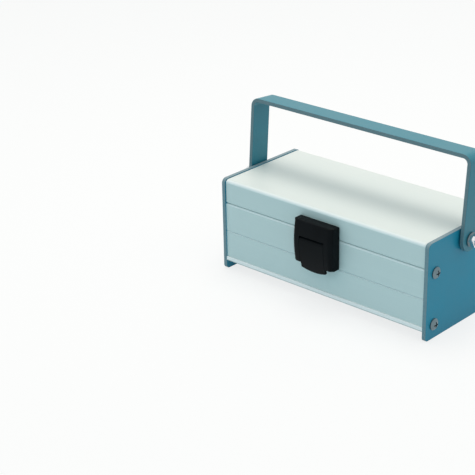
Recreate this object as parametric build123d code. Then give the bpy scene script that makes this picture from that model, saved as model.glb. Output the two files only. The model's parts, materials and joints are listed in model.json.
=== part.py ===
"""Lead-lined syringe carrier: a small aluminium case with a swinging strap handle and a draw latch.

The frame is X along the case, the latch at -Y and Z up. The origin lies midway between the two end plates,
on the level that the plates stand on. All sizes are in millimetres.
"""
import math
import os

from build123d import *

# Case
case_length = 203.0
case_depth = 92.0
case_height = 78.5
plate_thickness = 3.2
plate_top_corner = 4.0
plate_foot_corner = 3.0
floor_height = 7.8
lid_rise = 20.6
seam_gap = 0.4
lid_drop = 0.5
wall_setback = 0.8
wall = 2.2
seam_round = 1.5
lid_round = 3.0
lid_end_gap = 0.5

# Relief on the walls of the trough
groove_drop = 24.1
groove_width = 1.0
groove_depth = 0.6
rail_height = 3.4
rail_round = 0.7

# Screw ports inside the two extrusions
port_inset = 9.6
port_height_low = 3.9
port_drop = 4.1
port_wall = 1.3
port_slot = 2.0
rim_width = 13.2
rim_thickness = 2.0
lid_port_inset = 9.5
lid_port_drop = 6.6
lid_port_web = 3.4
lid_rim_width = 6.6

# Fasteners
screw_radius = 1.9
screw_length = 12.0
screw_head_radius = 4.6
screw_head_height = 2.9
screw_head_rim = 0.9
thread_fit = 0.05
cross_width = 1.1
cross_reach = 2.3
cross_depth = 1.6
cap_screw_radius = 1.4
cap_screw_head_radius = 2.6
cap_screw_length = 8.0
cap_slot_width = 0.6
cap_slot_depth = 0.6
rivet_radius = 1.2
rivet_head_radius = 2.1
rivet_head_height = 0.8
rivet_head_rim = 0.2

# Shielding and foam
lead = 3.2
lead_fit = 0.3
foam_fit = 0.4
foam_below_rim = 0.6
nest_side_margin = 5.4
barrel_radius = 8.5
barrel_length = 82.0
nose_radius = 5.5
nose_length = 38.0
flange_slot_width = 25.0
flange_slot_length = 5.0
plunger_width = 20.0
plunger_length = 32.0
nest_depth = 19.0
nest_end_margin = 11.0
thumb_scoop_radius = 17.0
thumb_scoop_depth = 13.0
pad_gap = 0.6

# Lid end caps
cap_thickness = 1.6

# Rear hinge
hinge_end_margin = 4.8
knuckle_count = 15
knuckle_radius = 2.6
knuckle_gap = 0.3
hinge_pin_radius = 1.2
hinge_fit = 0.08
leaf_thickness = 1.2
leaf_height = 13.0
leaf_rivets = 6
leaf_rivet_place = 7.8

# Handle
pivot_drop = 9.5
handle_reach = 65.4
strap_width = 19.0
strap_thickness = 3.2
strap_gap = 1.3
strap_bend = 4.0
strap_edge = 0.4
handle_lean = 4.5
stud_radius = 2.5
stud_fit = 0.1
stud_head_radius = 4.0
stud_head_depth = 1.0
washer_radius = 5.5
washer_clearance = 0.15
spring_washer_thickness = 1.0
nut_across_flats = 9.0
nut_height = 4.4
dome_radius = 4.1
dome_neck = 1.2

# Draw latch; the outward distances are measured from the wall of the trough
latch_width = 38.0
latch_reach = 7.9
latch_rise = 11.7
latch_cheek_drop = 23.3
latch_tab_drop = 27.7
latch_bow = 80.0
latch_top_round = 0.9
latch_cheek = 5.6
latch_side_gap = 0.4
latch_corner = 3.6
lever_pin_drop = 4.7
lever_pin_reach = 4.2
lever_pin_radius = 1.1
latch_throw = 7.5
claw_pin_radius = 1.1
latch_fit = 0.08
lever_skin = 2.2
lever_side = 2.6
lever_tab_bow = 38.0
latch_slot = 0.5
latch_wall_gap = 0.6
ear_thickness = 2.6
ear_inset = 5.0
ear_radius = 2.4
latch_base_thickness = 1.6
keeper_inset = 2.0
keeper_thickness = 1.2
ridge_reach = 4.6
ridge_thickness = 3.0
ridge_round = 0.75
hook_clearance = 0.3
hook_depth = 6.2
claw_roof = 1.9

# How close a corner must lie to be picked
near = 0.01

# Places that follow from the sizes above
inner_length = case_length - 2 * plate_thickness
seam_height = case_height - lid_rise
groove_height = seam_height - groove_drop
pivot_height = case_height - pivot_drop
wall_face = case_depth / 2 - wall_setback
wall_inside = wall_face - wall
lid_bottom = seam_height + seam_gap / 2
base_top = seam_height - seam_gap / 2
lid_top = case_height - lid_drop
lid_length = inner_length - 2 * lid_end_gap
lid_shell_length = lid_length - 2 * cap_thickness
hinge_length = lid_length - 2 * hinge_end_margin
floor_top = floor_height + wall
hinge_axis_y = wall_face + knuckle_radius
screw_y = case_depth / 2 - port_inset
screw_low_z = floor_height + port_height_low
screw_high_z = base_top - port_drop
lid_port_y = wall_face - lid_port_inset
lid_port_z = lid_top - lid_port_drop
rim_inside = wall_face - rim_width
cavity_length = inner_length - 2 * (lead + lead_fit)
foam_floor = floor_top + lead + lead_fit
nest_spacing = 2 * (rim_inside - foam_fit - nest_side_margin) - flange_slot_width
latch_top = seam_height + latch_rise
latch_cheek_foot = seam_height - latch_cheek_drop
latch_tab_foot = seam_height - latch_tab_drop
latch_middle = (latch_top + latch_cheek_foot) / 2
lever_pin_height = seam_height - lever_pin_drop
lever_width = latch_width - 2 * (latch_cheek + latch_side_gap)
lever_barrel = latch_reach - lever_pin_reach
ear_place = lever_width / 2 - ear_inset
keeper_width = lever_width - 2 * keeper_inset
ridge_top = latch_top - hook_depth - hook_clearance


def box(x0, x1, y0, y1, z0, z1):
    """A box between two corners."""
    centre = Vector((x0 + x1) / 2, (y0 + y1) / 2, (z0 + z1) / 2)
    return Pos(centre) * Box(x1 - x0, y1 - y0, z1 - z0)


def bar_x(x0, x1, y, z, radius):
    """A round bar along X."""
    return Pos((x0 + x1) / 2, y, z) * Rot(0, 90, 0) * Cylinder(radius, x1 - x0)


def bar_y(y0, y1, x, z, radius):
    """A round bar along Y."""
    return Pos(x, (y0 + y1) / 2, z) * Rot(90, 0, 0) * Cylinder(radius, y1 - y0)


def along_x(face, length):
    """A YZ profile drawn with local X as row Y and local Y as row Z, made into a bar centred on X = 0."""
    plane = Plane(origin=(-length / 2, 0, 0), x_dir=(0, 1, 0), z_dir=(1, 0, 0))
    return extrude(plane * face, amount=length)


def rectangle(y0, y1, z0, z1):
    """A rectangle in a YZ profile."""
    return Pos((y0 + y1) / 2, (z0 + z1) / 2) * Rectangle(y1 - y0, z1 - z0)


def mirrored(shape, plane):
    """The shape and its mirror image."""
    return [shape, mirror(shape, plane)]


def group(shapes):
    """Separate solids of one node."""
    solids = []
    for shape in shapes:
        solids += shape.solids()
    return Compound(children=solids)


def extrusion_port(y, z, opening):
    """The profile of a screw port: a ring with a slot on the side that the opening angle points to."""
    ring = Circle(screw_radius + thread_fit + port_wall)
    bore = Circle(screw_radius + thread_fit)
    slot = Rot(0, 0, opening) * Pos(screw_radius + port_wall, 0) * Rectangle(2 * port_wall, port_slot)
    return Pos(y, z) * (ring - bore - slot)


def base_shell():
    """The trough: floor, two walls with a rail and a groove, and rims that carry the upper screw ports."""
    outline = rectangle(-wall_face, wall_face, floor_height, base_top)
    hollow = rectangle(-wall_inside, wall_inside, floor_top, base_top - rim_thickness)
    mouth = rectangle(-rim_inside, rim_inside, floor_top, base_top + wall)
    profile = outline - hollow - mouth
    upper = [v for v in profile.vertices() if abs(abs(v.X) - wall_face) < near and abs(v.Y - base_top) < near]
    profile = fillet(upper, seam_round)
    for side in (-1, 1):
        rail_y = side * (wall_face + wall_setback / 2)
        rail = Pos(rail_y, floor_height + rail_height / 2) * Rectangle(wall_setback, rail_height)
        profile += rail
        notch = Polyline(
            (side * wall_face, groove_height + groove_width / 2),
            (side * (wall_face - groove_depth), groove_height),
            (side * wall_face, groove_height - groove_width / 2),
            close=True,
        )
        profile -= make_face(notch)
    rail_edge = case_depth / 2
    rail_top = floor_height + rail_height
    corners = [v for v in profile.vertices() if abs(abs(v.X) - rail_edge) < near and abs(v.Y - rail_top) < near]
    profile = fillet(corners, rail_round)
    for side in (-1, 1):
        inward = 180 if side > 0 else 0
        profile += extrusion_port(side * screw_y, screw_low_z, inward)
        profile += extrusion_port(side * screw_y, screw_high_z, inward)
        profile -= Pos(side * screw_y, screw_low_z) * Circle(screw_radius + thread_fit)
        profile -= Pos(side * screw_y, screw_high_z) * Circle(screw_radius + thread_fit)
    return along_x(profile, inner_length)


def plate_profile():
    """An end plate's outline with its corners rounded."""
    half = case_depth / 2
    face = rectangle(-half, half, 0, case_height)
    face = fillet([v for v in face.vertices() if v.Y > case_height / 2], plate_top_corner)
    return fillet([v for v in face.vertices() if v.Y < near], plate_foot_corner)


def end_plate():
    """The right end plate, with its screw holes and the countersunk hole of the handle stud."""
    profile = plate_profile()
    for y in (-screw_y, screw_y):
        for z in (screw_low_z, screw_high_z):
            profile -= Pos(y, z) * Circle(screw_radius + thread_fit)
    profile -= Pos(0, pivot_height) * Circle(stud_radius)
    plate = Pos(inner_length / 2 + plate_thickness / 2, 0, 0) * along_x(profile, plate_thickness)
    head = bar_x(inner_length / 2, inner_length / 2 + stud_head_depth, 0, pivot_height, stud_head_radius)
    return plate - head


def domed_pin(shank_radius, length, head_radius, head_height, rim):
    """A shank along -X from the origin with a domed head on +X, turned about X."""
    rise = head_height - rim
    crown = (rise ** 2 + head_radius ** 2) / (2 * rise)
    half_angle = math.asin(head_radius / crown) / 2
    middle = (head_height - crown + crown * math.cos(half_angle), crown * math.sin(half_angle))
    sides = Polyline((head_height, 0), (-length, 0), (-length, shank_radius), (0, shank_radius),
                     (0, head_radius), (rim, head_radius))
    dome = ThreePointArc((rim, head_radius), middle, (head_height, 0))
    return revolve(make_face(sides + dome), Axis.X)


def pan_screw(y, z):
    """One plate screw: shank, domed head and crossed recess, pointing into the right end of the trough."""
    face_x = case_length / 2
    pin = domed_pin(screw_radius, screw_length, screw_head_radius, screw_head_height, screw_head_rim)
    screw = Pos(face_x, y, z) * pin
    x0 = face_x + screw_head_height - cross_depth
    x1 = face_x + screw_head_height
    half = cross_width / 2
    screw -= box(x0, x1, y - cross_reach, y + cross_reach, z - half, z + half)
    return screw - box(x0, x1, y - half, y + half, z - cross_reach, z + cross_reach)


def plate_screws():
    """Four screws at each end."""
    screws = []
    for y in (-screw_y, screw_y):
        for z in (screw_low_z, screw_high_z):
            screws += mirrored(pan_screw(y, z), Plane.YZ)
    return group(screws)


def lid_shell():
    """The lid: a shallow channel with lips at the seam and two screw ports under its top."""
    outline = rectangle(-wall_face, wall_face, lid_bottom, lid_top)
    hollow = rectangle(-wall_inside, wall_inside, lid_bottom + rim_thickness, lid_top - wall)
    lip_inside = wall_face - lid_rim_width
    mouth = rectangle(-lip_inside, lip_inside, lid_bottom - wall, lid_bottom + rim_thickness)
    profile = outline - hollow - mouth
    top = [v for v in profile.vertices() if abs(abs(v.X) - wall_face) < near and v.Y > lid_top - near]
    profile = fillet(top, lid_round)
    seam = [v for v in profile.vertices() if abs(abs(v.X) - wall_face) < near and v.Y < lid_bottom + near]
    profile = fillet(seam, seam_round)
    ring_radius = cap_screw_radius + thread_fit + port_wall
    for side in (-1, 1):
        centre = Pos(side * lid_port_y, lid_port_z)
        profile += centre * Circle(ring_radius)
        profile += port_web(side * lid_port_y)
        profile -= centre * Circle(cap_screw_radius + thread_fit)
    return along_x(profile, lid_shell_length)


def port_web(y):
    """The web that hangs a lid port from the underside of the lid's top."""
    half = lid_port_web / 2
    return rectangle(y - half, y + half, lid_port_z, lid_top - wall)


def lid_cap():
    """The right end cap of the lid, cut to the lid's own outline."""
    face = rectangle(-wall_face, wall_face, lid_bottom, lid_top)
    top = [v for v in face.vertices() if v.Y > lid_top - near]
    face = fillet(top, lid_round)
    seam = [v for v in face.vertices() if v.Y < lid_bottom + near]
    face = fillet(seam, seam_round)
    x0 = lid_shell_length / 2
    cap = Pos(x0 + cap_thickness / 2, 0, 0) * along_x(face, cap_thickness)
    for side in (-1, 1):
        cap -= countersunk(x0 + cap_thickness, side * lid_port_y, cap_thickness, thread_fit)
    return cap


def countersunk(face_x, y, length, extra=0.0):
    """A flat-headed screw's solid, its head flush with face_x and its shank running towards -X."""
    cone_height = cap_screw_head_radius - cap_screw_radius
    shank = bar_x(face_x - length, face_x, y, lid_port_z, cap_screw_radius + extra)
    cone = Cone(cap_screw_radius + extra, cap_screw_head_radius + extra, cone_height)
    return shank + Pos(face_x - cone_height / 2, y, lid_port_z) * Rot(0, 90, 0) * cone


def cap_screw(y):
    """One screw of a lid end cap, with a slot across its flat head."""
    face_x = lid_length / 2
    screw = countersunk(face_x, y, cap_screw_length)
    half = cap_slot_width / 2
    return screw - box(face_x - cap_slot_depth, face_x, y - cap_screw_head_radius, y + cap_screw_head_radius,
                       lid_port_z - half, lid_port_z + half)


def base_leads():
    """The lead slabs of the trough, by node."""
    half = inner_length / 2
    side_top = base_top - rim_thickness
    side_foot = floor_top + lead
    y_out = wall_inside
    floor = box(-half, half, -screw_y + port_clear(), screw_y - port_clear(), floor_top, floor_top + lead)
    wall_slab = box(-half, half, wall_inside - lead, y_out, floor_top, side_top)
    front = mirror(wall_slab, Plane.XZ)
    end_half = screw_y - port_clear()
    end = box(half - lead, half, -end_half, end_half, side_foot, side_top)
    return {"base_lead_floor": floor, "base_lead_front": front, "base_lead_back": wall_slab,
            "base_lead_ends": group(mirrored(end, Plane.YZ))}


def port_clear():
    """From a trough port's axis to the nearest slab beside it."""
    return screw_radius + thread_fit + port_wall + lead_fit


def lid_leads():
    """The lead slabs of the lid, by node."""
    half = lid_shell_length / 2
    port_side = lid_port_y - cap_screw_radius - thread_fit - port_wall - lead_fit
    under_top = lid_top - wall
    top = box(-half, half, -port_side, port_side, under_top - lead, under_top)
    wall_slab = box(-half, half, wall_inside - lead, wall_inside, lid_bottom + rim_thickness, under_top)
    end = box(half - lead, half, -port_side, port_side, lid_bottom, under_top - lead)
    return {"lid_lead_top": top, "lid_lead_front": mirror(wall_slab, Plane.XZ), "lid_lead_back": wall_slab,
            "lid_lead_ends": group(mirrored(end, Plane.YZ))}


def syringe_nest():
    """The hollow of one nest about X: nose, barrel, finger flange and plunger, open above."""
    top = base_top
    z = foam_top() - nest_depth + barrel_radius
    start = -cavity_length / 2 + nest_end_margin
    flange_x = start + nose_length + barrel_length
    half = flange_slot_width / 2
    nose = trench(start, start + nose_length, nose_radius, z, top)
    barrel = trench(start + nose_length, flange_x, barrel_radius, z, top)
    flange = box(flange_x, flange_x + flange_slot_length, -half, half, z - barrel_radius, top)
    end_x = flange_x + flange_slot_length + plunger_length
    plunger = box(flange_x, end_x, -plunger_width / 2, plunger_width / 2, z - barrel_radius, top)
    return nose + barrel + flange + plunger


def trench(x0, x1, radius, z, top):
    """A round-bottomed trench along X."""
    return bar_x(x0, x1, 0, z, radius) + box(x0, x1, -radius, radius, z, top)


def foam_top():
    """The upper face of the cradle, a little under the seam."""
    return base_top - foam_below_rim


def foam_cradle():
    """The foam block in the trough with two syringe nests, laid head to tail, and a thumb scoop between."""
    half_x = cavity_length / 2 - foam_fit
    half_y = rim_inside - foam_fit
    block = box(-half_x, half_x, -half_y, half_y, foam_floor, foam_top())
    front_nest = Pos(0, -nest_spacing / 2, 0) * syringe_nest()
    back_nest = Rot(0, 0, 180) * front_nest
    scoop_z = foam_top() + thumb_scoop_radius - thumb_scoop_depth
    scoop = Pos(0, 0, scoop_z) * Rot(90, 0, 0) * Cylinder(thumb_scoop_radius, nest_spacing + 2 * barrel_radius)
    return block - front_nest - back_nest - scoop


def lid_foam_pad():
    """The foam pad in the lid, stepped beside the lid's ports, which ends just above the cradle."""
    half_y = wall_face - lid_rim_width - foam_fit
    port_room = cap_screw_radius + thread_fit + port_wall + foam_fit
    foot = lid_bottom + pad_gap
    step = lid_port_z - port_room
    upper = lid_top - wall - lead - lead_fit
    narrow = lid_port_y - port_room
    profile = rectangle(-half_y, half_y, foot, step) + rectangle(-narrow, narrow, foot, upper)
    return along_x(profile, lid_shell_length - 2 * (lead + foam_fit))


def hinge_pitch():
    """One knuckle and the gap beside it."""
    return (hinge_length + knuckle_gap) / knuckle_count


def knuckle_span(index):
    """The X stretch of one knuckle."""
    x0 = -hinge_length / 2 + index * hinge_pitch()
    return x0, x0 + hinge_pitch() - knuckle_gap


def rivet_places():
    """X places of the rivets along a leaf."""
    step = hinge_length / leaf_rivets
    return [-hinge_length / 2 + step * (i + 0.5) for i in range(leaf_rivets)]


def leaf_rivet_z(up):
    """The height of a leaf's row of rivets."""
    return seam_height + (leaf_rivet_place if up else -leaf_rivet_place)


def hinge_leaf(up):
    """One leaf with its own knuckles rolled about the pin; up is the lid's leaf."""
    sign = 1 if up else -1
    z_far = seam_height + sign * leaf_height
    clear = knuckle_radius + knuckle_gap
    z_near = seam_height + sign * clear
    low, high = min(z_near, z_far), max(z_near, z_far)
    half = hinge_length / 2
    leaf = box(-half, half, wall_face, wall_face + leaf_thickness, low, high)
    ends = [e for e in leaf.edges().filter_by(Axis.Y) if abs(e.center().Z - z_far) < near]
    leaf = fillet(ends, leaf_thickness)
    for index in range(knuckle_count):
        if index % 2 == (1 if up else 0):
            x0, x1 = knuckle_span(index)
            low_tab, high_tab = min(seam_height, z_near), max(seam_height, z_near)
            leaf += box(x0, x1, wall_face, wall_face + leaf_thickness, low_tab, high_tab)
            leaf += bar_x(x0, x1, hinge_axis_y, seam_height, knuckle_radius)
    bore = hinge_pin_radius + (hinge_fit if up else 0)
    leaf -= bar_x(-half, half, hinge_axis_y, seam_height, bore)
    for x in rivet_places():
        leaf -= bar_y(wall_face, wall_face + leaf_thickness, x, leaf_rivet_z(up), rivet_radius)
    return leaf


def rivets(points, face_y, grip):
    """Domed rivets along Y at (x, z) points: the head stands on face_y and the shank goes inward."""
    pin = domed_pin(rivet_radius, grip, rivet_head_radius, rivet_head_height, rivet_head_rim)
    return group([Pos(x, face_y, z) * Rot(0, 0, 90) * pin for x, z in points])


def drill(shape, points, y0, y1):
    """The shape with rivet holes along Y."""
    for x, z in points:
        shape -= bar_y(y0, y1, x, z, rivet_radius)
    return shape


def handle_strap():
    """The strap: a U of flat bar with round ends and bent corners, leaning back about its pivots."""
    inner_x = case_length / 2 + strap_gap
    outer_x = inner_x + strap_thickness
    top = pivot_height + handle_reach
    outer = rectangle(-outer_x, outer_x, pivot_height - strap_width, top)
    corners = [v for v in outer.vertices() if v.Y > top - near]
    outer = fillet(corners, strap_bend + strap_thickness)
    under = top - strap_thickness
    inner = rectangle(-inner_x, inner_x, pivot_height - 2 * strap_width, under)
    corners = [v for v in inner.vertices() if v.Y > under - near]
    inner = fillet(corners, strap_bend)
    plane = Plane(origin=(0, strap_width / 2, 0), x_dir=(1, 0, 0), z_dir=(0, -1, 0))
    strap = extrude(plane * (outer - inner), amount=strap_width)
    side = Pos(0, pivot_height) * Circle(strap_width / 2)
    side += rectangle(-strap_width / 2, strap_width / 2, pivot_height, top)
    strap = strap & along_x(side, 2 * outer_x)
    long_edges = strap.edges().filter_by(Axis.X).filter_by(lambda e: e.length > case_length / 2)
    strap = fillet(long_edges, strap_edge)
    strap -= bar_x(-outer_x, outer_x, 0, pivot_height, stud_radius + stud_fit)
    return lean(strap)


def lean(shape):
    """Turns a shape back about the handle's pivot axis."""
    return Pos(0, 0, pivot_height) * Rot(-handle_lean, 0, 0) * Pos(0, 0, -pivot_height) * shape


def stud_parts():
    """The pivot stack of the handle, by node: stud, spacer washer, spring washer and cap nut."""
    plate_face = case_length / 2
    inside = inner_length / 2
    strap_out = plate_face + strap_gap + strap_thickness
    nut_x = strap_out + washer_clearance + spring_washer_thickness
    stud_end = nut_x + nut_height
    head = bar_x(inside, inside + stud_head_depth, 0, pivot_height, stud_head_radius)
    stud = head + bar_x(inside, stud_end, 0, pivot_height, stud_radius)
    spacer_end = plate_face + strap_gap - washer_clearance
    spacer = bar_x(plate_face, spacer_end, 0, pivot_height, washer_radius)
    spacer -= bar_x(plate_face, spacer_end, 0, pivot_height, stud_radius)
    spring = bar_x(strap_out + washer_clearance, nut_x, 0, pivot_height, washer_radius)
    spring -= bar_x(strap_out, nut_x, 0, pivot_height, stud_radius)
    return {"handle_studs": stud, "handle_spacers": spacer, "handle_spring_washers": spring,
            "handle_cap_nuts": cap_nut(nut_x)}


def cap_nut(nut_x):
    """A hexagonal cap nut with a domed end, its seat at nut_x."""
    plane = Plane(origin=(nut_x, 0, pivot_height), x_dir=(0, 1, 0), z_dir=(1, 0, 0))
    hexagon = extrude(plane * RegularPolygon(nut_across_flats / 2, 6, major_radius=False), amount=nut_height)
    neck_end = nut_x + nut_height + dome_neck
    neck = bar_x(nut_x, neck_end, 0, pivot_height, dome_radius)
    dome = Pos(neck_end, 0, pivot_height) * Sphere(dome_radius)
    nut = hexagon + neck + dome
    nut -= box(nut_x - dome_radius * 2, nut_x, -dome_radius, dome_radius,
               pivot_height - dome_radius, pivot_height + dome_radius)
    return nut - bar_x(nut_x, nut_x + nut_height, 0, pivot_height, stud_radius)


def outward(reach):
    """Row Y of a point that lies this far in front of the trough's front wall."""
    return -wall_face - reach


def latch_box(x0, x1, reach0, reach1, z0, z1):
    """A box of the latch, by its distances from the front wall."""
    return box(x0, x1, outward(reach1), outward(reach0), z0, z1)


def bowed(half_width, inset, reach0, z0, z1):
    """A bar across the latch between two heights, whose front keeps an inset from the latch's bowed front."""
    profile = rectangle(outward(latch_reach), outward(reach0), z0, z1)
    profile &= Pos(outward(latch_reach - latch_bow), latch_middle) * Circle(latch_bow - inset)
    return along_x(profile, 2 * half_width)


def latch_lever():
    """The lever: a barrel on the upper pin, a hollow body between the cheeks and a finger tab."""
    half = lever_width / 2
    y_pin = outward(lever_pin_reach)
    body_back = latch_wall_gap + latch_base_thickness
    body = bowed(half, 0, body_back, latch_tab_foot, lever_pin_height)
    body &= bar_y(outward(latch_reach), outward(0), 0, latch_tab_foot + lever_tab_bow, lever_tab_bow)
    body += bar_x(-half, half, y_pin, lever_pin_height, lever_barrel)
    barrel_foot = lever_pin_height - lever_barrel
    body -= bowed(half - lever_side, lever_skin, 0, latch_cheek_foot + lever_side, barrel_foot)
    body -= bowed(half, lever_skin, 0, latch_tab_foot - lever_side, latch_cheek_foot)
    ear_room = lever_pin_reach + ear_radius + latch_side_gap
    for side in (-1, 1):
        centre = side * ear_place
        room = ear_thickness / 2 + latch_side_gap
        body -= latch_box(centre - room, centre + room, 0, ear_room, barrel_foot - latch_slot,
                          lever_pin_height + lever_barrel)
    claw_pin_z = lever_pin_height - latch_throw
    body -= bar_x(-half, half, y_pin, lever_pin_height, lever_pin_radius + latch_fit)
    return body - bar_x(-half, half, y_pin, claw_pin_z, claw_pin_radius)


def latch_claw():
    """The claw: a hooked head above the seam and two cheeks that hang beside the lever."""
    half = latch_width / 2
    cheek_in = half - latch_cheek
    head_foot = lever_pin_height + lever_barrel + latch_slot
    claw = bowed(half, 0, latch_wall_gap, latch_cheek_foot, latch_top)
    upright = [e for e in claw.edges() if abs(abs(e.center().X) - half) < near
               and e.length > latch_reach and e.center().Y < outward(latch_wall_gap) - near]
    claw = fillet(upright, latch_corner)
    rim = [e for e in claw.faces().sort_by(Axis.Z)[-1].edges() if e.center().Y < outward(latch_wall_gap) - near]
    claw = fillet(rim, latch_top_round)
    claw -= latch_box(-cheek_in, cheek_in, 0, latch_reach, latch_cheek_foot, head_foot)
    claw -= latch_box(-cheek_in, cheek_in, 0, ridge_reach + 2 * hook_clearance, head_foot,
                      ridge_top + hook_clearance)
    hook_back = keeper_thickness + rivet_head_height + hook_clearance
    claw -= latch_box(-cheek_in, cheek_in, 0, hook_back, head_foot, latch_top - claw_roof)
    pin_z = lever_pin_height - latch_throw
    return claw - bar_x(-half, half, outward(lever_pin_reach), pin_z, claw_pin_radius + latch_fit)


def latch_base():
    """The base of the latch: a plate riveted to the trough, with two ears that carry the lever's pin."""
    half = lever_width / 2 - latch_side_gap
    plate_top = lever_pin_height - lever_barrel - latch_slot
    base = latch_box(-half, half, 0, latch_base_thickness, latch_cheek_foot, plate_top)
    y_pin = outward(lever_pin_reach)
    for side in (-1, 1):
        x0 = side * ear_place - ear_thickness / 2
        x1 = side * ear_place + ear_thickness / 2
        base += bar_x(x0, x1, y_pin, lever_pin_height, ear_radius)
        base += latch_box(x0, x1, 0, lever_pin_reach, lever_pin_height - ear_radius,
                          lever_pin_height + ear_radius)
        base += latch_box(x0, x1, 0, latch_base_thickness, plate_top - latch_slot, lever_pin_height)
        base -= bar_x(x0, x1, y_pin, lever_pin_height, lever_pin_radius)
    return drill(base, latch_base_rivets_at(), outward(latch_base_thickness), outward(0))


def latch_base_rivets_at():
    """The rivets of the latch base."""
    z = (latch_cheek_foot + lever_pin_height - lever_barrel) / 2
    return [(-ear_place, z), (ear_place, z)]


def keeper_rivets_at():
    """The rivets of the keeper."""
    return [(-ear_place, keeper_top() - rivet_head_radius), (ear_place, keeper_top() - rivet_head_radius)]


def keeper_top():
    """The upper edge of the keeper, under the claw's roof."""
    return latch_top - claw_roof - hook_clearance


def latch_keeper():
    """The keeper on the lid: a plate with a ridge for the claw's hook."""
    half = keeper_width / 2
    keeper = latch_box(-half, half, 0, keeper_thickness, ridge_top - ridge_thickness, keeper_top())
    keeper += latch_box(-half, half, 0, ridge_reach, ridge_top - ridge_thickness, ridge_top)
    lip = [e for e in keeper.edges().filter_by(Axis.X)
           if abs(e.center().Y - outward(ridge_reach)) < near]
    keeper = fillet(lip, ridge_round)
    return drill(keeper, keeper_rivets_at(), outward(keeper_thickness), outward(0))


def front_rivets(points, reach):
    """Rivets whose heads stand on the latch's inner pieces and whose shanks go into the front wall."""
    return mirror(rivets(points, wall_face + reach, reach + wall), Plane.XZ)


def pierced(shape, points, front):
    """The trough or lid with the rivet holes of the latch or of a hinge leaf."""
    side = -1 if front else 1
    y0, y1 = sorted((side * wall_inside, side * wall_face))
    return drill(shape, points, y0, y1)


def build():
    """Every node of the carrier, by name."""
    base_points = [(x, leaf_rivet_z(False)) for x in rivet_places()]
    lid_points = [(x, leaf_rivet_z(True)) for x in rivet_places()]
    trough = pierced(pierced(base_shell(), latch_base_rivets_at(), True), base_points, False)
    lid = pierced(pierced(lid_shell(), keeper_rivets_at(), True), lid_points, False)
    half_hinge = hinge_length / 2
    leaf_face = wall_face + leaf_thickness
    cap_screws = mirrored(cap_screw(lid_port_y), Plane.YZ) + mirrored(cap_screw(-lid_port_y), Plane.YZ)
    pin_y = outward(lever_pin_reach)
    lever_half = lever_width / 2
    nodes = {
        "base_shell": trough,
        "end_plate_right": end_plate(),
        "end_plate_left": mirror(end_plate(), Plane.YZ),
        "plate_screws": plate_screws(),
        "foam_cradle": foam_cradle(),
        "hinge_leaf_base": hinge_leaf(False),
        "hinge_pin": bar_x(-half_hinge, half_hinge, hinge_axis_y, seam_height, hinge_pin_radius),
        "hinge_rivets_base": rivets(base_points, leaf_face, leaf_thickness + wall),
        "latch_base": latch_base(),
        "latch_base_rivets": front_rivets(latch_base_rivets_at(), latch_base_thickness),
        "latch_lever_pin": bar_x(-lever_half, lever_half, pin_y, lever_pin_height, lever_pin_radius),
        "lid_shell": lid,
        "lid_end_caps": group(mirrored(lid_cap(), Plane.YZ)),
        "lid_cap_screws": group(cap_screws),
        "lid_foam_pad": lid_foam_pad(),
        "hinge_leaf_lid": hinge_leaf(True),
        "hinge_rivets_lid": rivets(lid_points, leaf_face, leaf_thickness + wall),
        "latch_keeper": latch_keeper(),
        "latch_keeper_rivets": front_rivets(keeper_rivets_at(), keeper_thickness),
        "handle_strap": handle_strap(),
        "latch_lever": latch_lever(),
        "latch_claw": latch_claw(),
        "latch_claw_pin": bar_x(-latch_width / 2, latch_width / 2, pin_y,
                                lever_pin_height - latch_throw, claw_pin_radius),
    }
    nodes.update(base_leads())
    nodes.update(lid_leads())
    for name, shape in stud_parts().items():
        nodes[name] = group(mirrored(shape, Plane.YZ))
    return nodes


os.makedirs("parts", exist_ok=True)
for name, shape in build().items():
    export_step(shape, f"parts/{name}.step")
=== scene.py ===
"""Looks of the shielded syringe carrier: materials, soft foam, latch mouldings, light and camera.

Blender's units are metres, in the model's own frame: +X along the case, the latch at -Y, +Z up. Named
sizes and places are in millimetres unless a comment says otherwise, and mm() turns them into metres.
"""

import json
import math

import bmesh
import bpy
from mathutils import Matrix, Vector, noise


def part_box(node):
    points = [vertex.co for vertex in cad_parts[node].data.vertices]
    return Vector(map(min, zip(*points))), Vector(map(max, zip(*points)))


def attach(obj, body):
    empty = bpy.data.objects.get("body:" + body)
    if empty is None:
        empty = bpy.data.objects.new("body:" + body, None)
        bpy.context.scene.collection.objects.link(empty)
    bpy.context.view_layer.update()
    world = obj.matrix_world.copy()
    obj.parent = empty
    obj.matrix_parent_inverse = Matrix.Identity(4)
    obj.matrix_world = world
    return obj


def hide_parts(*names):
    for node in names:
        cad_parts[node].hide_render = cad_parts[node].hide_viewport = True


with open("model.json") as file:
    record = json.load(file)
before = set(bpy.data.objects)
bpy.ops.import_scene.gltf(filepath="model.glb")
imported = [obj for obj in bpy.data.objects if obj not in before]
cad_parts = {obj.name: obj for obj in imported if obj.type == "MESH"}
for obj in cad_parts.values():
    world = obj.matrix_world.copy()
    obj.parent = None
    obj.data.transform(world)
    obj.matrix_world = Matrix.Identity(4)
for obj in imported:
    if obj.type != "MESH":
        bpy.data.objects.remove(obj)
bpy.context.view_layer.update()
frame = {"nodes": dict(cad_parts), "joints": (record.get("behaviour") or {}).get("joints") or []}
nodes = frame["nodes"]
joints = {joint["name"]: joint for joint in frame["joints"]}


def mm(value):
    """Millimetres, in metres."""
    return value * 0.001


def in_mm(metres):
    """A place of the frame, in millimetres to a thousandth."""
    return round(metres * 1000, 3)


# Places on the case: the trough's walls, its rail's foot and the groove along its walls
WALL_FACE = in_mm(-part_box("latch_base")[1].y)
RAIL_FOOT = in_mm(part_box("base_shell")[0].z)
GROOVE_HEIGHT = 33.8

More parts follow.
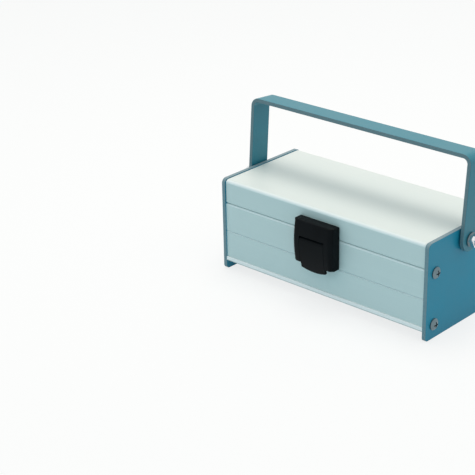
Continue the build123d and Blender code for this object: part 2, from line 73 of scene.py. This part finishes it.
# The photograph's camera, fitted to edges read in the picture, in millimetres, degrees and pixels
IMAGE = 475.0
CAM_AZIMUTH = 43.38
CAM_ELEVATION = 25.99
CAM_ROLL = -1.36
CAM_DISTANCE = 1113.5
CAM_RIGHT = -93.8
CAM_UP = -50.3
CAM_FOCAL = 1416.2
CAM_CENTRE = (237.5, 290.0)
CAM_SENSOR = 36.0
LOOK_AT = Vector((0.0, 0.0, 50.0))

# Light from all round: its strength and tint on its bright and its dim side, and the way to the bright one
BRIGHT_LIGHT = 0.75
DIM_LIGHT = 0.57
BRIGHT_TINT = (1.0, 0.95, 0.89)
DIM_TINT = (0.38, 0.88, 1.0)
BRIGHT_SIDE = (-0.33, 0.36, 0.87)

# The lamp overhead, in metres and watts
LAMP_PLACE = Vector((-0.10, 0.16, 1.15))
LAMP_SIDE = 0.58
LAMP_POWER = 5.6
LAMP_TINT = (1.0, 0.94, 0.87)

# The floor, in metres: its tones, how much of it the camera sees as plain white, and what is seen past it
FLOOR_HALF = 6.0
FLOOR_TONE = (0.50, 0.68, 0.77)
FLOOR_SEEN = (0.93, 0.95, 0.955)
FLOOR_PATCH = (0.95, 0.97, 0.97)
FLOOR_WHITE = 0.78
BACKDROP = (0.96, 0.97, 0.97)

# Colours of the coatings
PALE_COAT = (0.80, 0.845, 0.83)
PALE_PATCH = (0.775, 0.825, 0.81)
PALE_LINE = (0.72, 0.785, 0.775)
# Painted highlight on the case's edges, upward slopes and rail
PALE_HIGHLIGHT = (0.98, 0.99, 1.0)
# Painted shade, with some dust, in the groove and at the rail's lower edge
PALE_DUST_AND_SHADE = (0.33, 0.42, 0.42)
PLATE_COAT = (0.015, 0.264, 0.388)
PLATE_METAL = (0.25, 0.30, 0.32)
STRAP_COAT = (0.023, 0.204, 0.270)
STRAP_METAL = (0.16, 0.212, 0.232)
TEAL_SPECK = (0.14, 0.34, 0.40)

# Colours of the plastics and the foam
BLACK = (0.0035, 0.0045, 0.0055)
BLACK_HAZE = (0.006, 0.0075, 0.0088)
# Painted highlight on the black mouldings' edges
BLACK_EDGE_HIGHLIGHT = (0.022, 0.030, 0.034)
NYLON_DARK = (0.018, 0.021, 0.024)
NYLON_PALE = (0.026, 0.03, 0.033)
FOAM_DARK = (0.030, 0.032, 0.035)
FOAM_PALE = (0.075, 0.079, 0.084)

# Colours of the bare metals
ZINC = (0.19, 0.26, 0.29)
CHROME = (0.86, 0.87, 0.88)
HINGE_STEEL = (0.56, 0.58, 0.59)
RIVET_ALUMINIUM = (0.70, 0.72, 0.73)
LEAD_DARK = (0.17, 0.18, 0.19)
LEAD_PALE = (0.27, 0.28, 0.29)

X_AXIS, Y_AXIS, Z_AXIS = range(3)


# Shader helpers

def shade(colour, factor):
    """A colour made lighter or darker."""
    return tuple(c * factor for c in colour)


class Tree:
    """Short calls for the nodes of a material or of the world."""

    def __init__(self, tree):
        self.tree = tree

    def new(self, kind, **props):
        """Adds a node and sets its properties."""
        node = self.tree.nodes.new(kind)
        for key, value in props.items():
            setattr(node, key, value)
        return node

    def link(self, output, socket):
        self.tree.links.new(output, socket)

    def put(self, socket, value):
        """Sets a socket to a number or a colour, or links an output to it."""
        if isinstance(value, bpy.types.NodeSocket):
            self.link(value, socket)
        elif isinstance(value, tuple):
            socket.default_value = (*value, 1.0)
        else:
            socket.default_value = value

    def axes(self, output):
        """The X, Y and Z parts of a vector."""
        node = self.new("ShaderNodeSeparateXYZ")
        self.link(output, node.inputs[0])
        return node.outputs

    def dot(self, output, other):
        """The dot product of a vector with another one, given as an output or as numbers."""
        node = self.new("ShaderNodeVectorMath", operation="DOT_PRODUCT")
        self.link(output, node.inputs[0])
        if isinstance(other, bpy.types.NodeSocket):
            self.link(other, node.inputs[1])
        else:
            node.inputs[1].default_value = other
        return node.outputs["Value"]

    def math(self, kind, a, b=0.0, clamp=False):
        """A sum, a product or the like of numbers and outputs."""
        node = self.new("ShaderNodeMath", operation=kind, use_clamp=clamp)
        self.put(node.inputs[0], a)
        self.put(node.inputs[1], b)
        return node.outputs[0]

    def span(self, value, low, high, to_low=0.0, to_high=1.0, smooth=False):
        """Maps a value from one range to another, clamped."""
        node = self.new("ShaderNodeMapRange")
        if smooth:
            node.interpolation_type = "SMOOTHSTEP"
        self.put(node.inputs["Value"], value)
        node.inputs["From Min"].default_value = low
        node.inputs["From Max"].default_value = high
        node.inputs["To Min"].default_value = to_low
        node.inputs["To Max"].default_value = to_high
        return node.outputs["Result"]

    def mix(self, factor, a, b):
        """Mixes two colours."""
        node = self.new("ShaderNodeMix", data_type="RGBA")
        self.put(node.inputs["Factor"], factor)
        self.put(node.inputs["A"], a)
        self.put(node.inputs["B"], b)
        return node.outputs["Result"]

    def seen(self):
        """1 for rays from the camera and for reflections, 0 for the light that the surface gives off."""
        path = self.new("ShaderNodeLightPath").outputs
        seen = self.math("MAXIMUM", path["Is Camera Ray"], path["Is Glossy Ray"])
        return self.math("MAXIMUM", seen, path["Is Transmission Ray"])


class Shader(Tree):
    """One material with a Principled shader."""

    def __init__(self, name):
        self.mat = bpy.data.materials.new(name)
        self.mat.use_nodes = True
        super().__init__(self.mat.node_tree)
        self.bsdf = self.tree.nodes["Principled BSDF"]
        self.place = self.new("ShaderNodeTexCoord").outputs["Object"]

    def scaled(self, x, y, z):
        """The object's own coordinates, stretched, for a texture that follows a direction."""
        node = self.new("ShaderNodeMapping")
        self.link(self.place, node.inputs["Vector"])
        node.inputs["Scale"].default_value = (x, y, z)
        return node.outputs["Vector"]

    def normal(self, axis):
        """The X, Y or Z part of the surface's normal, in the object's own frame."""
        return self.axes(self.new("ShaderNodeTexCoord").outputs["Normal"])[axis]

    def noise(self, scale, detail, rough, vector=None, distortion=0.0):
        """Soft noise, with so many features to a metre."""
        node = self.new("ShaderNodeTexNoise")
        self.link(vector or self.place, node.inputs["Vector"])
        node.inputs["Scale"].default_value = scale
        node.inputs["Detail"].default_value = detail
        node.inputs["Roughness"].default_value = rough
        node.inputs["Distortion"].default_value = distortion
        return node.outputs["Fac"]

    def cells(self, scale):
        """The distance to the nearest of points strewn so many to a metre."""
        node = self.new("ShaderNodeTexVoronoi")
        self.link(self.place, node.inputs["Vector"])
        node.inputs["Scale"].default_value = scale
        return node.outputs["Distance"]

    def rounded(self, radius):
        """The normal, rounded over near edges."""
        node = self.new("ShaderNodeBevel", samples=4)
        node.inputs["Radius"].default_value = radius
        return node.outputs["Normal"]

    def edge(self, radius):
        """1 on outer and inner edges, 0 on flat faces."""
        flat = self.new("ShaderNodeNewGeometry").outputs["Normal"]
        return self.span(self.dot(self.rounded(radius), flat), 0.995, 0.9)

    def bump(self, layers, round_edges=0.0):
        """Adds height layers, each (value, height in metres), over edges rounded by a shader bevel."""
        height = None
        for value, metres in layers:
            layer = self.math("MULTIPLY", value, metres)
            height = layer if height is None else self.math("ADD", height, layer)
        node = self.new("ShaderNodeBump")
        node.inputs["Strength"].default_value = 1.0
        node.inputs["Distance"].default_value = 1.0
        self.link(height, node.inputs["Height"])
        if round_edges:
            self.link(self.rounded(round_edges), node.inputs["Normal"])
        self.link(node.outputs["Normal"], self.bsdf.inputs["Normal"])

    def whitened(self, share):
        """Mixes in plain white of strength 1."""
        glow = self.new("ShaderNodeEmission")
        blend = self.new("ShaderNodeMixShader")
        self.link(share, blend.inputs["Fac"])
        self.link(self.bsdf.outputs["BSDF"], blend.inputs[1])
        self.link(glow.outputs["Emission"], blend.inputs[2])
        self.link(blend.outputs["Shader"], self.tree.nodes["Material Output"].inputs["Surface"])

    def finish(self, colour, roughness, metallic=0.0, **more):
        """Sets the shader's main sockets, and others by their names, and gives the material."""
        self.put(self.bsdf.inputs["Base Color"], colour)
        self.put(self.bsdf.inputs["Roughness"], roughness)
        self.put(self.bsdf.inputs["Metallic"], metallic)
        for key, value in more.items():
            self.bsdf.inputs[key.replace("_", " ")].default_value = value
        return self.mat


# Materials

def pale_case():
    """Pale satin coating over an extrusion: faint die lines along X, fine grain, slight unevenness."""
    s = Shader("pale_case")
    y, z = s.axes(s.place)[1:]
    lines = s.noise(1.0, 4.0, 0.6, s.scaled(2.0, 900.0, 900.0))
    patches = s.noise(14.0, 3.0, 0.55, s.scaled(0.5, 1.0, 1.0))
    grain = s.noise(2600.0, 2.0, 0.6)
    tone = s.mix(s.span(patches, 0.35, 0.65), PALE_PATCH, PALE_COAT)
    tone = s.mix(s.math("MULTIPLY", s.span(lines, 0.3, 0.75), 0.25), tone, PALE_LINE)

    # Painted highlight lightens edges, upward slopes and the whole rail; the rail is also partly bare metal
    upward = s.normal(Z_AXIS)
    slope = s.math("MULTIPLY", s.span(upward, 0.06, 0.25), s.span(upward, 0.98, 0.85))
    rail = s.span(s.math("ABSOLUTE", y), mm(WALL_FACE + 0.15), mm(WALL_FACE + 0.4))
    bright = s.math("MAXIMUM", s.math("MAXIMUM", slope, rail), s.math("MULTIPLY", s.edge(mm(0.4)), 0.3))
    tone = s.mix(s.math("MULTIPLY", bright, 0.85), tone, PALE_HIGHLIGHT)

    # Painted shade, with some dust, darkens the groove and the rail's lower edge
    off_groove = s.math("ABSOLUTE", s.math("SUBTRACT", z, mm(GROOVE_HEIGHT)))
    inside = s.math("MULTIPLY", s.span(off_groove, mm(0.75), mm(0.45)), s.span(upward, 0.5, 0.2))
    under = s.math("MULTIPLY", rail, s.span(z, mm(RAIL_FOOT + 0.9), mm(RAIL_FOOT + 0.5)))
    tone = s.mix(s.math("MULTIPLY", s.math("MAXIMUM", inside, under), 0.6), tone, PALE_DUST_AND_SHADE)
    rough = s.math("ADD", s.span(patches, 0.3, 0.7, 0.40, 0.50), s.math("MULTIPLY", grain, 0.06))
    s.bump([(lines, mm(0.004)), (grain, mm(0.006))], mm(0.25))
    return s.finish(tone, rough, s.math("MULTIPLY", rail, 0.28), Specular_IOR_Level=0.5)


def teal_paint(name, coat, core, gloss, axis, covered, sawn):
    """Satin blue-green coating whose cut edges show the grey metal of the core.

    How squarely a face looks along the axis tells which it is: all paint at covered, all metal at sawn.
    """
    s = Shader(name)
    peel = s.noise(900.0, 2.0, 0.5)
    patches = s.noise(22.0, 4.0, 0.6)
    specks = s.noise(1500.0, 2.0, 0.5)
    saw = s.noise(1.0, 3.0, 0.6, s.scaled(250.0, 250.0, 1300.0))
    tone = s.mix(s.span(patches, 0.3, 0.7), coat, shade(coat, 1.09))
    tone = s.mix(s.math("MULTIPLY", s.span(specks, 0.62, 0.75), 0.2), tone, TEAL_SPECK)
    bare = s.mix(s.span(saw, 0.3, 0.7), core, shade(core, 1.18))
    cut = s.span(s.math("ABSOLUTE", s.normal(axis)), covered, sawn)
    worn = s.math("MULTIPLY", s.edge(mm(0.35)), s.span(specks, 0.4, 0.6, 0.2, 0.6))
    frayed = s.math("ADD", cut, worn, clamp=True)
    tone = s.mix(s.math("MULTIPLY", frayed, 0.8), tone, bare)
    rough = s.span(patches, 0.3, 0.7, 0.36, 0.46)
    s.bump([(peel, mm(0.012)), (specks, mm(0.004)), (s.math("MULTIPLY", saw, cut), mm(0.02))], mm(0.3))
    return s.finish(tone, rough, 0.0, Specular_IOR_Level=gloss)


def moulded_black():
    """Black moulded plastic with a fine spark texture and a painted highlight on its edges."""
    s = Shader("moulded_black")
    pits = s.cells(1700.0)
    fine = s.noise(2400.0, 2.0, 0.6)
    haze = s.noise(60.0, 3.0, 0.5)
    tone = s.mix(s.span(haze, 0.3, 0.7), BLACK, BLACK_HAZE)
    # Painted highlight lightens the edges
    tone = s.mix(s.math("MULTIPLY", s.edge(mm(0.4)), 0.5), tone, BLACK_EDGE_HIGHLIGHT)
    rough = s.span(haze, 0.3, 0.7, 0.40, 0.52)
    s.bump([(pits, mm(0.02)), (fine, mm(0.008))], mm(0.35))
    return s.finish(tone, rough, 0.0, Specular_IOR_Level=0.06)


def metal(name, colour, roughness, stretch, spread=0.08):
    """Bare metal with fine marks, so many to a metre along each axis."""
    s = Shader(name)
    marks = s.noise(1.0, 4.0, 0.7, s.scaled(*stretch))
    stain = s.noise(120.0, 3.0, 0.6)
    tone = s.mix(s.span(stain, 0.35, 0.7), colour, shade(colour, 0.82))
    rough = s.span(marks, 0.25, 0.75, roughness - spread, roughness + spread)
    s.bump([(marks, mm(0.006))], mm(0.12))
    return s.finish(tone, rough, 1.0)


def black_nylon():
    """Dark washers beside the strap."""
    s = Shader("black_nylon")
    fine = s.noise(1800.0, 2.0, 0.5)
    tone = s.mix(s.span(fine, 0.35, 0.65), NYLON_DARK, NYLON_PALE)
    s.bump([(fine, mm(0.01))], mm(0.15))
    return s.finish(tone, 0.55)


def lead():
    """Dull lead sheet with a blotchy oxide skin."""
    s = Shader("lead")
    blotch = s.noise(70.0, 5.0, 0.65, distortion=0.6)
    scratch = s.noise(1.0, 4.0, 0.7, s.scaled(40.0, 900.0, 900.0))
    tone = s.mix(s.span(blotch, 0.3, 0.7), LEAD_DARK, LEAD_PALE)
    rough = s.span(blotch, 0.3, 0.7, 0.48, 0.68)
    s.bump([(blotch, mm(0.05)), (scratch, mm(0.02))], mm(0.3))
    return s.finish(tone, rough, 0.55)


def foam(name):
    """Charcoal open-cell foam: fine cells and pores, with painted shade that darkens them as they deepen."""
    s = Shader(name)
    cell = s.cells(950.0)
    pore = s.cells(330.0)
    soft = s.noise(45.0, 3.0, 0.55)
    # Painted shade: cells and pores are darker where they are deeper
    tone = s.mix(s.span(cell, 0.1, 0.6), FOAM_DARK, FOAM_PALE)
    tone = s.mix(s.math("MULTIPLY", s.span(pore, 0.14, 0.02), 0.7), tone, shade(FOAM_DARK, 0.35))
    tone = s.mix(s.math("MULTIPLY", s.span(soft, 0.3, 0.7), 0.25), tone, shade(FOAM_PALE, 1.3))
    s.bump([(cell, mm(0.16)), (s.span(pore, 0.0, 0.2), mm(0.22)), (soft, mm(0.15))])
    return s.finish(tone, 0.95, 0.0, Specular_IOR_Level=0.2, Sheen_Weight=0.25, Sheen_Roughness=0.5)


def paint(material, *names):
    """Gives nodes of the frame a material."""
    for name in names:
        slots = nodes[name].material_slots
        if not slots:
            nodes[name].data.materials.append(material)
        for entry in slots:
            entry.material = material


paint(pale_case(), "base_shell", "lid_shell", "lid_end_caps")
paint(teal_paint("plate_paint", PLATE_COAT, PLATE_METAL, 0.28, X_AXIS, 0.6, 0.45),
      "end_plate_left", "end_plate_right")
paint(teal_paint("strap_paint", STRAP_COAT, STRAP_METAL, 0.45, Y_AXIS, 0.6, 0.75), "handle_strap")
latch_black = moulded_black()
paint(latch_black, "latch_base", "latch_lever", "latch_claw", "latch_keeper")
paint(metal("zinc_screws", ZINC, 0.36, (900.0, 900.0, 900.0)), "plate_screws", "lid_cap_screws",
      "latch_lever_pin", "latch_claw_pin", "handle_studs", "handle_spring_washers")
paint(metal("bright_chrome", CHROME, 0.10, (500.0, 500.0, 500.0), 0.03), "handle_cap_nuts")
paint(metal("hinge_steel", HINGE_STEEL, 0.32, (8.0, 1200.0, 1200.0)),
      "hinge_leaf_base", "hinge_leaf_lid", "hinge_pin")
paint(metal("rivet_aluminium", RIVET_ALUMINIUM, 0.38, (700.0, 700.0, 700.0)),
      "hinge_rivets_base", "hinge_rivets_lid", "latch_base_rivets", "latch_keeper_rivets")
paint(black_nylon(), "handle_spacers")
paint(lead(), "base_lead_floor", "base_lead_front", "base_lead_back", "base_lead_ends",
      "lid_lead_top", "lid_lead_front", "lid_lead_back", "lid_lead_ends")


# Meshes

def placed(name, data):
    """A new object in the scene."""
    obj = bpy.data.objects.new(name, data)
    bpy.context.scene.collection.objects.link(obj)
    return obj


def settle(obj):
    """Applies an object's modifiers to its mesh."""
    graph = bpy.context.evaluated_depsgraph_get()
    done = bpy.data.meshes.new_from_object(obj.evaluated_get(graph))
    obj.modifiers.clear()
    obj.data = done


# Foam

# The grid it is remeshed on, its rounds of relaxing, how far its faces sink and swell, and the swells, each
# as features to a metre and a share
FOAM_VOXEL = 1.1
FOAM_RELAX = 4
FOAM_CROWN = 0.12
FOAM_SWELLS = ((60.0, 0.6), (260.0, 0.4))


def softened(node, name):
    """A soft copy of a foam block: remeshed finely, its corners relaxed, its faces slightly uneven."""
    mesh = bpy.data.meshes.new(name)
    work = bmesh.new()
    work.from_mesh(nodes[node].data)
    work.to_mesh(mesh)
    work.free()
    obj = placed(name, mesh)
    remesh = obj.modifiers.new("remesh", "REMESH")
    remesh.mode = "VOXEL"
    remesh.voxel_size = mm(FOAM_VOXEL)
    relax = obj.modifiers.new("relax", "SMOOTH")
    relax.factor = 0.5
    relax.iterations = FOAM_RELAX
    settle(obj)
    done = obj.data
    done.materials.clear()
    crown = mm(FOAM_CROWN)
    moved = []
    for v in done.vertices:
        swell = sum(noise.noise(v.co * scale) * share for scale, share in FOAM_SWELLS)
        moved.extend(v.co + v.normal * (crown * swell - crown))
    done.vertices.foreach_set("co", moved)
    done.shade_smooth()
    return obj


cradle = softened("foam_cradle", "soft_cradle")
cradle.data.materials.append(foam("cradle_foam"))
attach(cradle, "case")
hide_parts("foam_cradle")

pad = softened("lid_foam_pad", "soft_lid_pad")
pad.data.materials.append(foam("pad_foam"))
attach(pad, "lid")
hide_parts("lid_foam_pad")


# Latch mouldings

# Their points are (x, reach, z), and reach is the distance in front of the trough's wall
def reach_of(place):
    """The reach of a place of the frame."""
    return round(in_mm(-place[1]) - WALL_FACE, 3)


claw_low, claw_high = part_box("latch_claw")
lever_low, lever_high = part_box("latch_lever")
keeper_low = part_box("latch_keeper")[0]
lever_axis = joints["latch_lever_turn"]["pos_m"]
claw_axis = joints["latch_claw_turn"]["pos_m"]

# Both: the bowed front, which stands further out than the solids' as in the photograph, the gaps and the pins
LATCH_DEEPER = 2.9
LATCH_REACH = reach_of(claw_low) + LATCH_DEEPER
LATCH_BOW = 80.0
LATCH_TOP = in_mm(claw_high.z)
CHEEK_FOOT = in_mm(claw_low.z)
LATCH_MIDDLE = (LATCH_TOP + CHEEK_FOOT) / 2
SIDE_GAP = 0.4
SLOT = 0.5
PIN_REACH = reach_of(lever_axis)
LEVER_PIN = in_mm(lever_axis[2])
CLAW_PIN = in_mm(claw_axis[2])
PIN_HOLE = 1.18

# The lever: its hollow body, its barrel, the points of its nose as insets from the front and heights over the
# pin, its tab and the rooms for the base's ears
LEVER_HALF = 11.8
LEVER_BACK = 2.2
LEVER_SKIN = 2.2
BARREL = 3.7
BARREL_END = 237
NOSE_FOOT = 1.1
NOSE = ((0.4, 1.9), (1.3, 2.6), (2.4, 3.05))
NOSE_TOP = 3.4
TAB_LONGER = 1.7
TAB_FOOT = in_mm(lever_low.z) - TAB_LONGER
TAB_BOW = 38.0
EAR_PLACE = 8.0
EAR_HALF = 1.3
EAR_RADIUS = 2.4
EAR_ROOM = EAR_HALF + SIDE_GAP
EAR_REACH = PIN_REACH + EAR_RADIUS + SIDE_GAP
EAR_FOOT = LEVER_PIN - BARREL - SLOT

# The claw: its cheeks, wider behind a step, its head and hook, and the rooms for the lever's pin and for the
# keeper's ridge
CHEEK_HALF = in_mm(claw_high.x)
CHEEK_BACK = reach_of(claw_high)
CHEEK_FLARE = 0.4
CHEEK_STEP = 6.6
STEP_SLOPE = 0.5
CHEEK_INSIDE = LEVER_HALF + SIDE_GAP
CHEEK_CORNER = 3.6
TOP_ROUND = 1.1
HEAD_INSIDE = in_mm(lever_high.x) + SIDE_GAP
HEAD_FOOT = LEVER_PIN + BARREL + SLOT
HEAD_ROOF = 1.9
HOOK_DEPTH = 6.2
HOOK_BACK = 2.3
HOOK_TOP = LATCH_TOP - HEAD_ROOF
PIN_ROOM = 1.6
RIDGE_ROOM = 0.6
RIDGE_TOP = LATCH_TOP - HOOK_DEPTH

# How far cutters stand past what they cut, how finely curves are stepped, and what counts as a sharp edge
PAST = 1.0
OVERLAP = 0.1
BOW_STEPS = 24
ARC_STEPS = 8
HOLE_SIDES = 24
SHARP_ANGLE = math.radians(28)


def bow(z):
    """The reach of the bowed front at a height."""
    return LATCH_REACH - LATCH_BOW + math.sqrt(LATCH_BOW ** 2 - (z - LATCH_MIDDLE) ** 2)


def stepped(low, high, steps):
    """Evenly spaced values from one to another, both of them in."""
    return [low + (high - low) * i / steps for i in range(steps + 1)]


def arc(reach, other, radius, start, end, steps=ARC_STEPS):
    """Points of an arc about a reach and a height or an x, in degrees from straight out."""
    turns = [math.radians(angle) for angle in stepped(start, end, steps)]
    return [(reach + radius * math.cos(a), other + radius * math.sin(a)) for a in turns]


def latch_point(x, reach, z):
    """A point of the latch, in metres."""
    return mm(x), -mm(WALL_FACE) - mm(reach), mm(z)


def lofted(name, rings):
    """A closed solid through rings of equally many points."""
    work = bmesh.new()
    loops = [[work.verts.new(latch_point(*point)) for point in ring] for ring in rings]
    for low, high in zip(loops, loops[1:]):
        for i in range(len(low)):
            work.faces.new((low[i - 1], low[i], high[i], high[i - 1]))
    work.faces.new(loops[0])
    work.faces.new(loops[-1])
    bmesh.ops.recalc_face_normals(work, faces=work.faces)
    mesh = bpy.data.meshes.new(name)
    work.to_mesh(mesh)
    work.free()
    return placed(name, mesh)


def across(profile, x0, x1, name="cutter"):
    """A profile of reach and height, drawn out along X."""
    return lofted(name, [[(x, reach, z) for reach, z in profile] for x in (x0, x1)])


def block(x0, x1, reach, z0, z1):
    """A box from behind the latch out to a reach."""
    return across([(-PAST, z0), (reach, z0), (reach, z1), (-PAST, z1)], x0, x1)


def hole(half, z):
    """A pin's hole along X."""
    last = 360 - 360 / HOLE_SIDES
    return across(arc(PIN_REACH, z, PIN_HOLE, 0, last, HOLE_SIDES - 1), -half, half)


def bowed(back, inset, z0, z1):
    """A side profile from a back plane to the bowed front."""
    front = [(bow(z) - inset, z) for z in stepped(z0, z1, BOW_STEPS)]
    return [(back, z0), *front, (back, z1)]


def carved(solid, cutters, keep=()):
    """A solid less its cutters, and inside what it keeps."""
    for kind, tools in (("INTERSECT", keep), ("DIFFERENCE", cutters)):
        for tool in tools:
            cut = solid.modifiers.new("cut", "BOOLEAN")
            cut.operation = kind
            cut.solver = "EXACT"
            cut.object = tool
    settle(solid)
    for tool in (*keep, *cutters):
        bpy.data.objects.remove(tool)
    solid.data.shade_smooth()
    solid.data.set_sharp_from_angle(angle=SHARP_ANGLE)
    return solid


def claw_ring(z, inset):
    """The claw's plan at one height: stepped sides and a front with rounded corners."""
    half, corner = CHEEK_HALF - inset, CHEEK_CORNER - inset
    front, back_half = bow(z) - inset, CHEEK_HALF + CHEEK_FLARE - inset
    right = [(back_half, CHEEK_BACK), (back_half, CHEEK_STEP), (half, CHEEK_STEP + STEP_SLOPE)]
    right += [(x, reach) for reach, x in arc(front - corner, half - corner, corner, 90, 0)]
    return [(x, reach, z) for x, reach in right] + [(-x, reach, z) for x, reach in reversed(right)]


def claw_moulding():
    """The claw: a bowed head with its hook, and a cheek beside each side of the lever."""
    plain = LATCH_TOP - TOP_ROUND
    levels = [(z, 0.0) for z in stepped(CHEEK_FOOT, plain, BOW_STEPS)[:-1]]
    turns = [math.radians(angle) for angle in range(0, 91, 15)]
    levels += [(plain + TOP_ROUND * math.sin(a), TOP_ROUND * (1 - math.cos(a))) for a in turns]
    solid = lofted("claw_moulding", [claw_ring(z, inset) for z, inset in levels])
    below = CHEEK_FOOT - PAST
    return carved(solid, [
        block(-CHEEK_INSIDE, CHEEK_INSIDE, LATCH_REACH + PAST, below, HEAD_FOOT),
        block(-HEAD_INSIDE, HEAD_INSIDE, PIN_REACH + PIN_ROOM, below, HEAD_FOOT),
        block(-HEAD_INSIDE, HEAD_INSIDE, reach_of(keeper_low) + RIDGE_ROOM, HEAD_FOOT - OVERLAP, RIDGE_TOP),
        block(-HEAD_INSIDE, HEAD_INSIDE, HOOK_BACK, RIDGE_TOP - OVERLAP, HOOK_TOP),
        hole(CHEEK_HALF + OVERLAP, CLAW_PIN)])


def tab_outline():
    """The disc whose lower edge rounds the lever's tab, drawn out along Y."""
    turns = [math.radians(angle) for angle in range(0, 360, 3)]
    disc = [(TAB_BOW * math.sin(a), TAB_FOOT + TAB_BOW - TAB_BOW * math.cos(a)) for a in turns]
    return lofted("cutter", [[(x, reach, z) for x, z in disc] for reach in (-2 * PAST, LATCH_REACH + PAST)])


def lever_moulding():
    """The lever: a rounded nose and barrel at its upper end, a hollow body and a finger tab."""
    front = bowed(LEVER_BACK, 0.0, TAB_FOOT, LEVER_PIN + NOSE_FOOT)[:-1]
    nose = [(LATCH_REACH - inset, LEVER_PIN + rise) for inset, rise in NOSE]
    nose.append((EAR_REACH, LEVER_PIN + NOSE_TOP))
    barrel = arc(PIN_REACH, LEVER_PIN, BARREL, 90, BARREL_END)
    solid = across(front + nose + barrel, -LEVER_HALF, LEVER_HALF, "lever_moulding")
    shell, outside = LEVER_HALF - LEVER_SKIN, LEVER_HALF + PAST
    rooms = [block(ear - EAR_ROOM, ear + EAR_ROOM, EAR_REACH, EAR_FOOT, LEVER_PIN + BARREL + PAST)
             for ear in (-EAR_PLACE, EAR_PLACE)]
    return carved(solid, [
        across(bowed(-PAST, LEVER_SKIN, CHEEK_FOOT + LEVER_SKIN, LEVER_PIN - BARREL), -shell, shell),
        across(bowed(-PAST, LEVER_SKIN, TAB_FOOT - PAST, CHEEK_FOOT), -outside, outside),
        *rooms,
        hole(outside, LEVER_PIN),
        hole(outside, CLAW_PIN)], [tab_outline()])


for piece, body, node in ((claw_moulding(), "latch_claw", "latch_claw"),
                          (lever_moulding(), "latch_lever", "latch_lever")):
    piece.data.materials.append(latch_black)
    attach(piece, body)
    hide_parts(node)


# Floor, light and camera

def floor():
    """A pale cool floor that the camera, and reflections, see as a white one with soft shadows."""
    mesh = bpy.data.meshes.new("floor")
    half = FLOOR_HALF
    corners = [(-half, -half, 0), (half, -half, 0), (half, half, 0), (-half, half, 0)]
    mesh.from_pydata(corners, [], [(0, 1, 2, 3)])
    obj = placed("floor", mesh)
    s = Shader("pale_floor")
    soft = s.noise(3.0, 2.0, 0.5)
    seen = s.seen()
    tone = s.mix(seen, FLOOR_TONE, FLOOR_SEEN)
    tone = s.mix(s.span(soft, 0.3, 0.7, 0.0, 0.06), tone, FLOOR_PATCH)
    s.finish(tone, 0.7, 0.0, Specular_IOR_Level=0.2)
    s.whitened(s.math("MULTIPLY", seen, FLOOR_WHITE))
    obj.data.materials.append(s.mat)


def studio():
    """Soft light from all round: bright overhead and behind, cooler and darker low on the camera's side."""
    world = bpy.data.worlds.new("studio")
    world.use_nodes = True
    s = Tree(world.node_tree)
    around = s.new("ShaderNodeTexCoord").outputs["Generated"]
    share = s.span(s.dot(around, BRIGHT_SIDE), -0.25, 0.85, smooth=True)
    light = s.mix(share, shade(DIM_TINT, DIM_LIGHT), shade(BRIGHT_TINT, BRIGHT_LIGHT))
    s.link(s.mix(s.seen(), light, BACKDROP), s.tree.nodes["Background"].inputs["Color"])
    bpy.context.scene.world = world


def overhead():
    """One soft lamp above and a little behind, aimed at the middle of the ground."""
    data = bpy.data.lights.new("overhead", "AREA")
    data.shape = "RECTANGLE"
    data.size = LAMP_SIDE
    data.size_y = LAMP_SIDE
    data.energy = LAMP_POWER
    data.color = LAMP_TINT
    obj = placed("overhead", data)
    obj.location = LAMP_PLACE
    obj.rotation_mode = "QUATERNION"
    obj.rotation_quaternion = (-LAMP_PLACE).to_track_quat("-Z", "Y")


def camera():
    """The photograph's camera, whose picture is cut from a larger one, so its lens is shifted."""
    azimuth, elevation, roll = (math.radians(a) for a in (CAM_AZIMUTH, CAM_ELEVATION, CAM_ROLL))
    level = Vector((math.cos(azimuth), math.sin(azimuth), 0.0))
    outward = Vector((math.sin(azimuth), -math.cos(azimuth), 0.0))
    back = outward * math.cos(elevation) + Vector((0.0, 0.0, math.sin(elevation)))
    up = back.cross(level)
    right = level * math.cos(roll) + up * math.sin(roll)
    top = up * math.cos(roll) - level * math.sin(roll)
    eye = mm(LOOK_AT + back * CAM_DISTANCE + right * CAM_RIGHT + top * CAM_UP)
    data = bpy.data.cameras.new("camera")
    obj = placed("camera", data)
    obj.matrix_world = Matrix.Translation(eye) @ Matrix((right, top, back)).transposed().to_4x4()
    data.sensor_width = CAM_SENSOR
    data.lens = CAM_FOCAL / IMAGE * CAM_SENSOR
    data.shift_x = (IMAGE / 2 - CAM_CENTRE[0]) / IMAGE
    data.shift_y = (CAM_CENTRE[1] - IMAGE / 2) / IMAGE
    data.clip_start, data.clip_end = 0.05, 30.0
    bpy.context.scene.camera = obj


floor()
studio()
overhead()
camera()

bpy.context.scene.view_settings.view_transform = "Standard"
bpy.context.view_layer.update()
